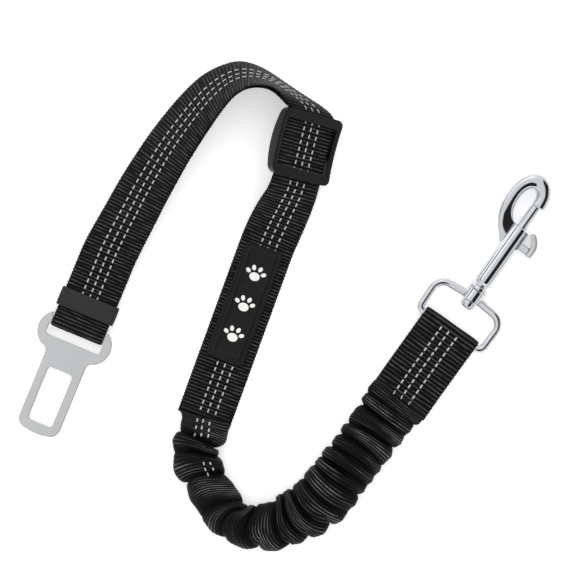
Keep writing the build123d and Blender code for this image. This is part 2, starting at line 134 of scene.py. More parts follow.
class TetherHardware(bpy.types.PropertyGroup):
    """The colours of the metal, plastic and rubber fittings."""

    steel: colour_property("Steel", "#C9CBCC", "Colour of the tongue's steel")
    chrome: colour_property("Chrome", "#CED0D4", "Colour of the plated snap")
    plastic: colour_property("Plastic", "#0B0B0C", "Colour of the slide adjuster")
    keeper: colour_property("Keeper", "#242425", "Colour of the keeper band")


class TetherStage(bpy.types.PropertyGroup):
    """The floor and the light."""

    floor: colour_property("Floor", "#FCFCFC", "Colour of the floor")
    backlight: FloatProperty(name="Backlight", description="Light that comes up through the floor", default=0.35)
    key_power: FloatProperty(name="Key Light", description="Power of the main soft light", default=8.0,
                             unit="POWER")
    fill: FloatProperty(name="Fill", description="Brightness of the light from all round", default=1.0)
    overhead: FloatProperty(name="Overhead", description="Brightness straight above, where the camera hangs",
                            default=0.95)


# ---------------------------------------------------------------- shapes
def smooth_line(rows):
    """The points along a smooth line, a NURBS spline of order 3 with the rows as its control points, in mm."""
    curve = bpy.data.curves.new("route", "CURVE")
    curve.dimensions = "3D"
    curve.resolution_u = 24
    spline = curve.splines.new("NURBS")
    rows = np.asarray(rows, float)
    spline.points.add(len(rows) - 1)
    spline.points.foreach_set("co", np.hstack([rows, np.ones((len(rows), 1))]).ravel())
    spline.order_u = 3
    spline.use_endpoint_u = True
    holder = bpy.data.objects.new("route", curve)
    mesh = bpy.data.meshes.new_from_object(holder)
    points = np.empty(len(mesh.vertices) * 3)
    mesh.vertices.foreach_get("co", points)
    bpy.data.meshes.remove(mesh)
    bpy.data.objects.remove(holder)
    bpy.data.curves.remove(curve)
    return points.reshape(-1, 3)


def unit(vectors):
    """The vectors at length one."""
    return vectors / np.linalg.norm(vectors, axis=-1, keepdims=True)


def squared(value, power):
    """The value's size raised to a power below one, with its sign kept: it makes a circle's section squarer."""
    return np.sign(value) * np.abs(value) ** power


def around(count):
    """Even angles once round a circle."""
    return np.linspace(0, 2 * np.pi, count, endpoint=False)


def stations(points):
    """Distance along a line at each of its points."""
    steps = np.linalg.norm(np.diff(points, axis=0), axis=1)
    return np.concatenate([[0.0], np.cumsum(steps)])


def at(stops, values, where):
    """Values known at the stops, read between them at the places asked for, one column at a time."""
    where = np.asarray(where, float)
    return np.stack([np.interp(where, stops, column) for column in np.asarray(values, float).T], -1)


def wander(a, b, seed):
    """A smooth uneven value from -1 to 1: the mean of a few sine waves of the two inputs."""
    random, count = np.random.default_rng(seed), 5
    waves = random.uniform(0.3, 1.7, (count, 2))
    starts = random.uniform(0, 2 * np.pi, count)
    return sum(np.sin(a * w[0] + b * w[1] + start) for w, start in zip(waves, starts)) / count


class Ribbon:
    """A line with a width direction: the frame along which a strap's section is carried.

    Points along and across come from its two edges. Its normal is the width direction times the direction along.
    """

    def __init__(self, inner, outer):
        self.stops = stations((inner + outer) / 2)
        self.centre = (inner + outer) / 2
        self.length = self.stops[-1]
        self.across = unit(outer - inner)
        along = unit(np.gradient(self.centre, axis=0))
        self.normal = unit(np.cross(along, self.across))

    def place(self, along, across, out):
        """The point this far along the line, this far across it and this far out of its face."""
        along = np.asarray(along, float)
        centre = at(self.stops, self.centre, along)
        side = unit(at(self.stops, self.across, along))
        normal = unit(at(self.stops, self.normal, along))
        beyond = (along - np.clip(along, 0, self.length))[..., None] * unit(np.cross(side, normal))
        return centre + side * np.asarray(across)[..., None] + normal * np.asarray(out)[..., None] + beyond


def rib_profile(phase):
    """The rounded rise of one woven rib over each whole step of the phase, from 0 in the groove to 1."""
    return np.abs(np.sin(np.pi * phase)) ** 0.7


def strap_points(ribbon, width, thickness, pitch, height, seed, columns=44, per_rib=7):
    """A woven strap's surface as rows and columns of points, with its pattern coordinates.

    Round the section the strap is an oval with flat faces: across is half the width times the cosine, and out is
    half the thickness times a root of one minus the cosine to the eighth. Along the strap each rib raises both
    faces by its height and pushes the edges out a little.
    """
    rows = int(ribbon.length / pitch * per_rib)
    s = np.linspace(0, ribbon.length, rows)[:, None]
    angle = around(columns)[None, :]
    x = np.cos(angle) * width / 2
    flat = np.sign(np.sin(angle)) * (1 - np.cos(angle) ** 8) ** 0.5
    phase = s / pitch + 0.14 * wander(s * 0.9, x * 0.25, seed) + 0.05 * wander(s * 4, x * 1.1, seed + 1)
    rib = rib_profile(phase) * (0.8 + 0.2 * wander(s * 2.3, x * 0.8, seed + 2))
    edge = np.abs(np.cos(angle)) ** 6
    out = flat * (thickness / 2 - height + height * rib)
    x = x + np.sign(x) * edge * (0.42 * rib - 0.36)
    out = out + 0.05 * wander(s * 0.15, x * 0.3, seed + 3)
    points = ribbon.place(np.broadcast_to(s, x.shape), x, out)
    return points, np.stack([phase * pitch, x], -1)


def grid_faces(rows, columns, closed, looped=False):
    """Four-cornered faces over rows and columns of points.

    A closed grid joins its last column to its first. A looped one joins its last row to its first too.
    """
    index = np.arange(rows * columns).reshape(rows, columns)
    if closed:
        index = np.hstack([index, index[:, :1]])
    if looped:
        index = np.vstack([index, index[:1]])
    return np.stack([index[:-1, :-1], index[:-1, 1:], index[1:, 1:], index[1:, :-1]], -1).reshape(-1, 4)


def outward(points, faces):
    """The faces, turned over if the closed shape that they make is inside out."""
    centred = points - points.mean(0)
    a, b, c, d = (centred[faces[:, i]] for i in range(4))
    volume = (a * (np.cross(b, c) + np.cross(c, d))).sum()
    return faces if volume > 0 else faces[:, ::-1]


def upward(points, faces):
    """The faces of an open surface, turned over if it looks down."""
    a, b, c = (points[faces[:, i]] for i in range(3))
    return faces if np.cross(b - a, c - a)[:, 2].sum() > 0 else faces[:, ::-1]


def border(grid):
    """The outermost entries of a grid, in order once round it."""
    return np.concatenate([grid[0, :-1], grid[:-1, -1], grid[-1, :0:-1], grid[:0:-1, 0]])


def make_piece(name, points, faces, caps, material, pattern=None, painted_highlight=None):
    """A mesh object at the origin from points in mm, with its pattern coordinates as a UV map in mm.

    painted_highlight says how strongly the highlight painted on the crests of the weave shows at each point, from
    0 to 1, and is 1 all over when not given.
    """
    mesh = bpy.data.meshes.new(name)
    mesh.from_pydata((points * 0.001).tolist(), [], faces.tolist() + [list(cap) for cap in caps])
    if pattern is not None:
        corners = np.empty(len(mesh.loops), np.int32)
        mesh.loops.foreach_get("vertex_index", corners)
        layer = mesh.uv_layers.new(name="pattern")
        layer.data.foreach_set("uv", pattern[corners].astype(np.float32).ravel())
        painted_highlight = np.ones(len(points)) if painted_highlight is None else painted_highlight
        mesh.attributes.new("painted_highlight", "FLOAT", "POINT").data.foreach_set("value", painted_highlight.astype(np.float32).ravel())
    mesh.polygons.foreach_set("use_smooth", np.ones(len(mesh.polygons), bool))
    mesh.materials.append(material)
    mesh.validate()
    piece = bpy.data.objects.new(name, mesh)
    bpy.context.scene.collection.objects.link(piece)
    return piece


def grid_piece(name, grid, material, pattern=None, painted_highlight=None):
    """A closed tube-like piece: the grid's columns go round it and both ends are shut with a flat face."""
    rows, columns = grid.shape[:2]
    points = grid.reshape(-1, 3)
    faces = outward(points, grid_faces(rows, columns, True))
    first, last = np.arange(columns), np.arange(columns) + (rows - 1) * columns
    order = -1 if faces[0][1] == 1 else 1
    caps = [first[::order], last[::-order]]
    pattern = None if pattern is None else pattern.reshape(-1, 2)
    return make_piece(name, points, faces, caps, material, pattern, painted_highlight)


def lay_on(name, place, along, across, size, material):
    """Many small stitches on a surface: lozenges, round in section, that taper to nothing at both ends.

    Along a stitch the taper is the fourth root of one minus the distance from its middle to the fourth, and round
    it the section is an ellipse half sunk in the surface.
    """
    length, width, height = size
    a = np.array([-1.0, -0.8, -0.3, 0.3, 0.8, 1.0])[None, :, None]
    angle = around(6)[None, None, :]
    taper = np.maximum(1 - a ** 4, 0.02) ** 0.4
    s = along[:, None, None] + a * length / 2 + 0 * angle
    x = across[:, None, None] + taper * np.cos(angle) * width / 2
    points = place(s, x, taper * np.sin(angle) * height)
    faces = grid_faces(6, 6, True)
    faces = outward(points[0].reshape(-1, 3), faces)
    faces = (faces[None] + np.arange(len(along))[:, None, None] * 36).reshape(-1, 4)
    ends = np.concatenate([[0, 1, 2, 3], [0, 3, 4, 5], [30, 33, 32, 31], [30, 35, 34, 33]]).reshape(-1, 4)
    ends = (ends[None] + np.arange(len(along))[:, None, None] * 36).reshape(-1, 4)
    return make_piece(name, points.reshape(-1, 3), np.vstack([faces, ends]), [], material)


def dash_rows(name, place, stops, rows, uneven, seed, size, material, body):
    """Rows of stitches along a strap, each a little off its even place. They ride on the strap's body."""
    s, x = np.meshgrid(stops, rows, indexing="ij")
    s = s + uneven * wander(s * 3, x * 2, seed)
    return settle(lay_on(name, place, s.ravel(), x.ravel(), size, material), body, "white_print")


# ---------------------------------------------------------------- finishes
def add(tree, kind, settings=None, **inputs):
    """Adds a node with its settings, and gives each named input a value or a link.

    A link comes from a socket, or from a whole node's first output. An input may be named by its number: i0, i1.
    """
    made = tree.nodes.new("ShaderNode" + kind)
    for key, value in (settings or {}).items():
        setattr(made, key, value)
    for key, value in inputs.items():
        name = key.replace("_", " ")
        socket = made.inputs[int(key[1:])] if key[0] == "i" and key[1:].isdigit() else made.inputs[name]
        if isinstance(value, bpy.types.Node):
            value = value.outputs[0]
        if isinstance(value, bpy.types.NodeSocket):
            tree.links.new(value, socket)
        else:
            socket.default_value = value
    return made


def new_material(name, **surface):
    """An empty material with a shader whose named inputs are set."""
    material = bpy.data.materials.new(name)
    material.use_nodes = True
    tree = material.node_tree
    tree.nodes.clear()
    shader = add(tree, "BsdfPrincipled", **surface)
    add(tree, "OutputMaterial", Surface=shader.outputs["BSDF"])
    return material, tree, shader


def dent(tree, shader, height, strength, distance, rounding=None):
    """Dents the shader's surface by a height, in metres, and rounds the light on its edges if asked to."""
    normal = add(tree, "Bump", Height=height, Strength=strength, Distance=distance)
    if rounding is not None:
        normal = add(tree, "Bevel", {"samples": 4}, Radius=rounding, Normal=normal)
    tree.links.new(normal.outputs[0], shader.inputs["Normal"])


def woven(name, yarn, rib_pitch, crest="#58585A"):
    """Woven polyester: matt black yarn, with a highlight painted in the crest colour along the crest of each rib.

    The pattern map counts ribs along its first direction, so a wave of the rib's pitch peaks on every crest. The
    painted highlight fades in and out at random across the strap and is scaled by the painted_highlight attribute;
    fine warp threads roughen the surface.
    """
    material, tree, shader = new_material(name, Roughness=0.46, Specular_IOR_Level=0.09)
    place = add(tree, "UVMap", {"uv_map": "pattern"})
    crests = add(tree, "TexWave", {"bands_direction": "X"}, Vector=place, Scale=WAVE_PERIOD / rib_pitch)
    narrow = add(tree, "MapRange", {"interpolation_type": "SMOOTHSTEP"}, Value=crests.outputs["Fac"],
                 i1=0.62, i2=1.0, i3=0.0, i4=1.0)
    stretched = add(tree, "VectorMath", {"operation": "MULTIPLY"}, i0=place, i1=(0.75, 0.13, 1.0))
    uneven = add(tree, "TexNoise", Vector=stretched, Scale=1.0, Detail=3.0)
    share = add(tree, "MapRange", Value=uneven, i1=0.36, i2=0.66, i3=0.12, i4=1.0)
    fuzz = add(tree, "TexNoise", Vector=place, Scale=2.6, Detail=3.0)
    speck = add(tree, "MapRange", Value=fuzz, i1=0.34, i2=0.66, i3=0.3, i4=1.35)
    painted_highlight = add(tree, "Attribute", {"attribute_name": "painted_highlight"})
    amount = narrow
    for factor in (share, painted_highlight.outputs["Fac"], speck):
        amount = add(tree, "Math", {"operation": "MULTIPLY"}, i0=amount, i1=factor)
    # The crest colour is a painted highlight, mixed over the yarn colour by amount.
    tint = add(tree, "Mix", {"data_type": "RGBA"}, Factor=amount)
    tint.inputs[6].default_value = (*yarn[:3], 1.0)
    tint.inputs[7].default_value = linear(crest)
    tree.links.new(tint.outputs[2], shader.inputs["Base Color"])
    threads = add(tree, "TexWave", {"bands_direction": "Y"}, Vector=place, Scale=WAVE_PERIOD / WARP_PITCH,
                  Distortion=1.2, Detail=2.0)
    height = add(tree, "Math", {"operation": "ADD"}, i0=threads.outputs["Fac"], i1=fuzz)
    dent(tree, shader, height, 0.5, 0.0001)
    return material


def grained(name, colour, roughness, grain, depth, spread=0.06, rounding=0.4, **surface):
    """A moulded or finished surface: its grain dents the surface and makes the shine uneven."""
    material, tree, shader = new_material(name, Base_Color=(*colour[:3], 1.0), **surface)
    place = add(tree, "TexCoord")
    dents = add(tree, "TexNoise", Vector=place.outputs["Object"], Scale=1000 / grain, Detail=3.0)
    clouds = add(tree, "TexNoise", Vector=place.outputs["Object"], Scale=140.0, Detail=4.0)
    shine = add(tree, "MapRange", Value=clouds, i1=0.3, i2=0.7, i3=roughness - spread, i4=roughness + spread)
    tree.links.new(shine.outputs[0], shader.inputs["Roughness"])
    dent(tree, shader, dents, 0.5, depth * 0.001, rounding * 0.001)
    return material


def thread(name, colour, roughness, scale, strength, **surface):
    """A thread whose fine strands show as a small bump."""
    material, tree, shader = new_material(name, Base_Color=(*colour[:3], 1.0), Roughness=roughness, **surface)
    place = add(tree, "TexCoord")
    strands = add(tree, "TexNoise", Vector=place.outputs["Object"], Scale=scale, Detail=2.0)
    dent(tree, shader, strands, strength, 0.0001)
    return material


def finish_node(node, material):
    """Gives a CAD node a finished material."""
    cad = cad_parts[node]
    cad.data.materials.clear()
    cad.data.materials.append(material)


def settle(piece, body, slot, *nodes):
    """Rides the piece on its body and lets it stand for its CAD nodes, which it hides; its finish's name, slot, is
    not used.
    """
    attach(piece, body)
    if nodes:
        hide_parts(*nodes)
    return piece


# ---------------------------------------------------------------- where things are
def level(angle):
    """A level unit vector, its angle in degrees from +Y towards +X."""
    return np.array([np.sin(np.radians(angle)), np.cos(np.radians(angle)), 0.0])


TONGUE_ALONG = level(22.5)
TONGUE_SIDE = np.array([TONGUE_ALONG[1], -TONGUE_ALONG[0], 0.0])
BAR_CENTRE = np.array([-92.5, -10.6, 3.45])
STRAP_START = BAR_CENTRE + TONGUE_ALONG * 6.2

ROLL = np.radians(30.0)
ADJUSTER_ALONG = level(194.0)
LEVEL_EDGE = np.array([ADJUSTER_ALONG[1], -ADJUSTER_ALONG[0], 0.0])
ADJUSTER_EDGE = LEVEL_EDGE * np.cos(ROLL) + UP * np.sin(ROLL)  # towards the raised rail
ADJUSTER_OUT = np.cross(ADJUSTER_EDGE, ADJUSTER_ALONG)
ADJUSTER_CENTRE = np.array([9.0, 70.8, LIFT + 6.0 * np.cos(ROLL) + (25.9 / 2 + 2.1) * np.sin(ROLL)])

SNAP_ALONG = level(35.2)
SNAP_SIDE = np.array([SNAP_ALONG[1], -SNAP_ALONG[0], 0.0])
SNAP_ORIGIN = np.array([50.9, -43.9, 4.8])
TAB_LENGTH = 40.2

LABEL_ALONG = level(200.0)
LABEL_SIDE = np.array([-LABEL_ALONG[1], LABEL_ALONG[0], 0.0])

# Both edges of the doubled strap: x and y of the raised inner edge, x, y and height of the outer edge.
LOOP_ROUTE = [
    (-72.8, 4.4, -95.9, 14.0, 1.98), (-69.9, 11.4, -93.0, 21.0, 1.98), (-66.9, 18.7, -90.0, 28.2, 1.98),
    (-62.6, 27.2, -85.0, 37.0, 1.2), (-58.0, 36.0, -79.6, 46.4, 0.3), (-53.5, 45.0, -74.1, 56.2, 0),
    (-48.7, 53.8, -67.7, 66.2, 0), (-43.8, 62.6, -61.0, 76.2, 0), (-38.7, 70.8, -53.7, 85.6, 0),
    (-33.6, 78.2, -46.0, 94.6, 0), (-28.6, 85.2, -37.4, 102.8, 0), (-23.8, 91.2, -29.0, 107.2, 0),
    (-19.2, 94.8, -20.6, 109.5, 0), (-14.6, 96.4, -13.2, 107.6, 0), (-10.6, 96.6, -6.8, 104.2, 0),
    (-7.4, 96.2, -1.2, 100.2, 0), (-4.8, 95.0, 4.6, 96.2, 0.4), (-2.4, 93.0, 10.6, 92.2, 1.4),
    (-0.4, 91.0, 16.8, 88.2, 3.0),
]
# How far the lower layer slips outwards at each row of the route, the fold first.
SLIP = [0, 0, 0, 0, 0, 0, 0, 0, 0, 0, 0.3, 0.6, 0.9, 1.1, 1.1, 0.9, 0.6, 0.3, 0, 0, 0]
SETTLE_ROUTE = [(0.4, 44.2, 8.6, 20), (-2.4, 38.6, 5.0, 11), (-5.2, 32.8, 2.2, 3)]
LABEL_START = np.array([-7.6, 27.4, 0.7])
LABEL_END = np.array([-36.4, -51.6, 0.7])

# The hook's bend from the barrel round to the nose: across and along the snap for the outer and the inner outline,
# half the thickness, and how square the section is, 1 being an ellipse and less being squarer.
HOOK_BEND = [
    (-2.6, 82.6, -2.0, 96.4, 1.7, 0.5), (-6.3, 87.4, -4.0, 96.2, 1.8, 0.5), (-10.2, 91.4, -6.4, 98.3, 2.2, 0.55),
    (-13.5, 97.2, -8.0, 101.6, 2.8, 0.7), (-14.9, 105.0, -8.5, 105.8, 3.2, 0.8),
    (-14.6, 110.2, -8.3, 108.8, 3.2, 0.8), (-13.2, 115.0, -7.7, 111.0, 3.2, 0.8),
    (-10.3, 118.9, -6.7, 112.7, 3.2, 0.8), (-5.3, 121.4, -5.3, 113.4, 3.2, 0.8),
    (-0.4, 119.6, -3.9, 113.0, 3.2, 0.8), (2.8, 115.5, -2.9, 111.6, 3.2, 0.8),
    (4.0, 111.4, -2.4, 109.8, 3.2, 0.8), (4.0, 107.9, -2.3, 107.9, 3.1, 0.75),
]

# The cover's route: x, y, width and height of the flattened tube.
COVER_ROUTE = [
    (-35.9, -50.2, 25.0, 3.2), (-38.4, -60.0, 19.5, 8.6), (-39.0, -68.0, 20.6, 9.6), (-36.8, -76.4, 19.8, 9.8),
    (-32.8, -84.8, 19.6, 10.0), (-26.6, -93.0, 20.2, 10.4), (-17.4, -98.8, 20.4, 10.8), (-6.6, -99.4, 22.6, 11.0),
    (4.0, -95.6, 24.0, 11.4), (13.2, -88.8, 25.0, 11.6), (20.8, -81.0, 25.6, 11.6), (27.6, -72.8, 25.0, 11.0),
    (34.0, -64.4, 23.6, 10.4), (40.0, -56.6, 23.8, 9.6), (46.0, -49.6, 25.6, 6.4), (51.8, -42.6, 28.4, 3.2),
]
# The cover's creases: where each meets the inner and the outer side, how far its middle bows towards the tab, the
# cover's half width there on both sides, and the half widths of the pleat that follows.
CREASES = np.array([
    (0, 0, 0, 12.4, 12.4, 12.0, 9.6),
    (13.5, 8.5, -1, 6.2, 8.4, 9.3, 11.7),
    (19, 16, -2, 8.2, 9.8, 10.2, 11.8),
    (30, 27, -3, 8.8, 6.9, 10.5, 9.6),
    (49.5, 41, -5, 7.5, 9.1, 7.9, 10.8),
    (53.5, 51, -6, 7.6, 8.8, 8.9, 10.8),
    (59.5, 62, -5, 8.7, 8.3, 10.3, 11.6),
    (73, 72, -4, 10.0, 9.4, 12.0, 11.7),
    (78.5, 79, -4, 11.6, 9.6, 12.0, 13.5),
    (84.5, 88, -4, 10.4, 10.9, 11.8, 14.4),
    (93, 96, -3, 10.8, 13.0, 12.3, 13.8),
    (101.5, 103.5, -1, 11.4, 10.9, 12.3, 13.0),
    (106.5, 109, 0, 11.4, 12.0, 12.7, 13.0),
    (113, 114, 1.5, 10.2, 11.8, 12.2, 13.0),
    (120, 119.5, 1.5, 10.2, 11.5, 12.5, 13.1),
    (125.5, 129, 1, 10.7, 10.3, 12.8, 12.9),
    (135.5, 136.5, 0, 10.8, 11.4, 13.7, 12.6),
    (141, 143, 0, 13.0, 11.4, 14.4, 13.6),
    (147.5, 147.5, 0, 14.2, 14.2, 14.2, 14.2),
])


def route_edges(slip):
    """Control points of both edges of the doubled strap's middle surface, from the tongue to the adjuster.

    The roll of a row is the angle at which a strap's width covers only the plan distance between its edges.
    """
    table = np.array(LOOP_ROUTE)
    spread = np.hstack([table[:, 0:2] - table[:, 2:4], np.zeros((len(table), 1))])
    plan = np.linalg.norm(spread, axis=1)
    roll = np.arccos(np.minimum(1, plan / (2 * HALF_STRAP)))
    low = LIFT + table[:, 4] + EDGE_ROOM * np.sin(roll) + HALF_STACK * np.cos(roll)
    middle = np.column_stack([(table[:, 0:2] + table[:, 2:4]) / 2, low + HALF_STRAP * np.sin(roll)])
    half = (unit(spread) * np.cos(roll)[:, None] + UP * np.sin(roll)[:, None]) * HALF_STRAP
    entry = ADJUSTER_CENTRE - ADJUSTER_OUT * LAYER_OFFSET - ADJUSTER_ALONG * 15.5
    inner = np.vstack([STRAP_START + TONGUE_SIDE * HALF_STRAP, middle + half, entry + ADJUSTER_EDGE * HALF_STRAP])
    outer = np.vstack([STRAP_START - TONGUE_SIDE * HALF_STRAP, middle - half, entry - ADJUSTER_EDGE * HALF_STRAP])
    push = unit(outer - inner) * np.array(slip)[:, None]
    return inner + push, outer + push


def run_edges():
    """Control points of both edges from the adjuster's entry to the elastic, half a layer under the strap."""
    rows = [(ADJUSTER_CENTRE + ADJUSTER_ALONG * stop, 30.0) for stop in (-7.0, 7.0, 20.0)]
    rows += [(np.array(row[:3]), row[3]) for row in SETTLE_ROUTE]
    run = LABEL_END - LABEL_START
    rows += [(LABEL_START + run * share, 0.0) for share in (0.0, 0.12, 0.88, 1.0)]
    centre = np.array([row[0] for row in rows])
    roll = np.radians([row[1] for row in rows])[:, None]
    along = unit(np.gradient(centre, axis=0))
    along[:2] = ADJUSTER_ALONG
    along[-3:] = unit(run)
    side = unit(np.cross(along, UP))
    edge = side * np.cos(roll) + np.cross(side, along) * np.sin(roll)
    centre = centre - np.cross(edge, along) * LAYER_OFFSET
    return centre + edge * HALF_STRAP, centre - edge * HALF_STRAP


def along_profile(profile, origin, along, up, softness):
    """A line in space from a side profile, resampled evenly and softened at its corners.

    The softening averages neighbours with bell-shaped weights.
    """
    profile = np.asarray(profile, float)
    stops = stations(np.column_stack([profile, np.zeros(len(profile))]))
    even = np.arange(0, stops[-1], 0.1)
    line = at(stops, profile, even)
    reach = int(softness * 40)
    weights = np.exp(-0.5 * (np.arange(-reach, reach + 1) / (softness * 10)) ** 2)
    padded = np.vstack([2 * line[0] - line[reach:0:-1], line, 2 * line[-1] - line[-2:-reach - 2:-1]])
    line = np.stack([np.convolve(column, weights / weights.sum(), "valid") for column in padded.T], -1)
    return origin + line[:, :1] * along + line[:, 1:] * up


def half_turn(x, radius):
    """Points of a half circle about (x, 0), from above it round the far side to below it."""
    angle = np.linspace(np.pi / 2, 3 * np.pi / 2, 24)
    return [(x + radius * np.cos(a), radius * np.sin(a)) for a in angle]


def ribbon_from(centre, side, width):
    """A ribbon about a centre line whose width direction stays the same."""
    return Ribbon(centre - side * width / 2, centre + side * width / 2)


# ---------------------------------------------------------------- operators
class TETHER_OT_webbing(bpy.types.Operator):
    """Lays the strap: one length from the tongue through the adjuster to the elastic, and its return layer"""

    bl_idname = "tether.webbing"
    bl_label = "Lay the Webbing"

    def execute(self, context):
        settings = context.scene.tether_webbing
        width, thickness = settings.width * 1000, settings.thickness * 1000
        pitch, height = settings.rib_pitch * 1000, settings.rib_height * 1000
        # Webbing woven with stuffed ribs: dull black grooves, and crests with a painted highlight of thin grey
        # bars.
        cloth = woven("Woven black polyester webbing", settings.yarn, pitch)
        # Reflective filament, sewn through in long stitches: pale, broken lines on the black.
        shiny = thread("Reflective polyester thread", settings.dash, 0.42, 2400.0, 0.5, Sheen_Weight=0.2)

        inner, outer = route_edges(np.zeros(len(SLIP)))
        low, high = run_edges()
        inner, outer = smooth_line(np.vstack([inner, low])), smooth_line(np.vstack([outer, high]))
        middle = Ribbon(inner, outer)
        raise_by = middle.normal * LAYER_OFFSET
        strap = Ribbon(inner + raise_by, outer + raise_by)
        grid, pattern = strap_points(strap, width, thickness, pitch, height, 3)
        piece = settle(grid_piece("main_strap", grid, cloth, pattern), "strap", "black_webbing",
                       "loop_webbing", "adjuster_webbing", "label_webbing")
        lift = thickness / 2 - 0.05
        stops = np.arange(3.0, strap.length - 4, 2 * pitch)
        dashes = dash_rows("strap_dashes", lambda a, b, c: strap.place(a, b, c + lift), stops, DASH_ROWS, 0.25, 11,
                           (1.9, 0.74, 0.2), shiny, "strap")

        inner, outer = (smooth_line(rows) for rows in route_edges(SLIP))
        middle = Ribbon(inner, outer)
        lower = Ribbon(inner - middle.normal * LAYER_OFFSET, outer - middle.normal * LAYER_OFFSET)
        grid, pattern = strap_points(lower, width, thickness, pitch, height, 17, columns=32, per_rib=6)
        piece = grid_piece("return_strap", grid, cloth, pattern)
        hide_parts("return_webbing")
        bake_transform(piece)

        radius = FOLD_RADIUS + thickness / 2
        profile = [(6.3, LAYER_OFFSET)] + half_turn(0, radius) + [(6.3, -LAYER_OFFSET)]
        centre = along_profile(profile, BAR_CENTRE, TONGUE_ALONG, UP, 0.4)
        ribbon = ribbon_from(centre, TONGUE_SIDE, width)
        grid, pattern = strap_points(ribbon, width, thickness, pitch, height, 23, per_rib=8)
        settle(grid_piece("tongue_loop", grid, cloth, pattern), "strap", "black_webbing", "tongue_fold")
        return {"FINISHED"}


class TETHER_OT_sewn_ends(bpy.types.Operator):
    """Lays the loop sewn round the adjuster's bar and the tab sewn round the ring"""

    bl_idname = "tether.sewn_ends"
    bl_label = "Sew the Ends"

    def execute(self, context):
        settings = context.scene.tether_webbing
        thickness = settings.thickness * 1000
        pitch, height = settings.rib_pitch * 1000, settings.rib_height * 1000
        cloth = bpy.data.materials["Woven black polyester webbing"]
        shiny = bpy.data.materials["Reflective polyester thread"]

        bar_depth = (2.4 + 4.7) / 2
        bar = ADJUSTER_CENTRE - ADJUSTER_OUT * bar_depth
        upper = bar_depth - BENEATH - thickness
        tail = upper - thickness - 0.05
        turn = [(3.6 - x, y) for x, y in half_turn(1.8, upper)]
        profile = [(-15.5, upper)] + turn + [(-2.75, -upper), (-6.65, tail), (-13.5, tail)]
        centre = along_profile(profile, bar, ADJUSTER_ALONG, ADJUSTER_OUT, 0.5)
        ribbon = ribbon_from(centre, ADJUSTER_EDGE, 2 * HALF_STRAP)
        grid, pattern = strap_points(ribbon, 24.8, thickness, pitch, height, 31, columns=32, per_rib=6)
        settle(grid_piece("adjuster_loop", grid, cloth, pattern), "adjuster", "black_webbing", "sewn_loop")

        drop = LIFT + thickness + 0.1 - SNAP_ORIGIN[2]
        apart = 0.72
        radius = FOLD_RADIUS + thickness / 2
        profile = [(TAB_LENGTH, drop + apart), (24, drop + apart), (11, apart - 1)] + half_turn(0, radius)
        profile += [(11, -apart - 1), (24, drop - apart), (TAB_LENGTH, drop - apart)]
        bar = SNAP_ORIGIN + SNAP_ALONG * TAB_LENGTH
        centre = along_profile(profile, bar, -SNAP_ALONG, UP, 0.6)
        width, coarse_pitch = 28.4, 1.88
        ribbon = ribbon_from(centre, SNAP_SIDE, width)
        grid, pattern = strap_points(ribbon, width, thickness, coarse_pitch, height * 1.25, 37)
        # A heavier webbing with wider ribs: the same black, with fewer and broader grey bars of painted highlight.
        coarse = woven("Woven black polyester tab", settings.yarn, coarse_pitch)
        settle(grid_piece("end_tab", grid, coarse, pattern), "end_tab", "black_webbing", "end_webbing")
        lift = thickness / 2 - 0.04
        dash_rows("tab_dashes", lambda a, b, c: ribbon.place(a, b, -c - lift), np.arange(3.0, 41.0, 3.0),
                  TAB_DASH_ROWS, 0.3, 12, (2.0, 0.82, 0.22), shiny, "end_tab")
        return {"FINISHED"}


def cover_frame():
    """The cover's centre line with its height: control points at half the tube's height, and a smooth line."""
    table = np.array(COVER_ROUTE)
    line = smooth_line(np.column_stack([table[:, 0], table[:, 1], LIFT + table[:, 3] / 2]))
    along = unit(np.gradient(line, axis=0) * np.array([1, 1, 0]))
    side = np.stack([along[:, 1], -along[:, 0], 0 * along[:, 0]], -1)
    return line, side


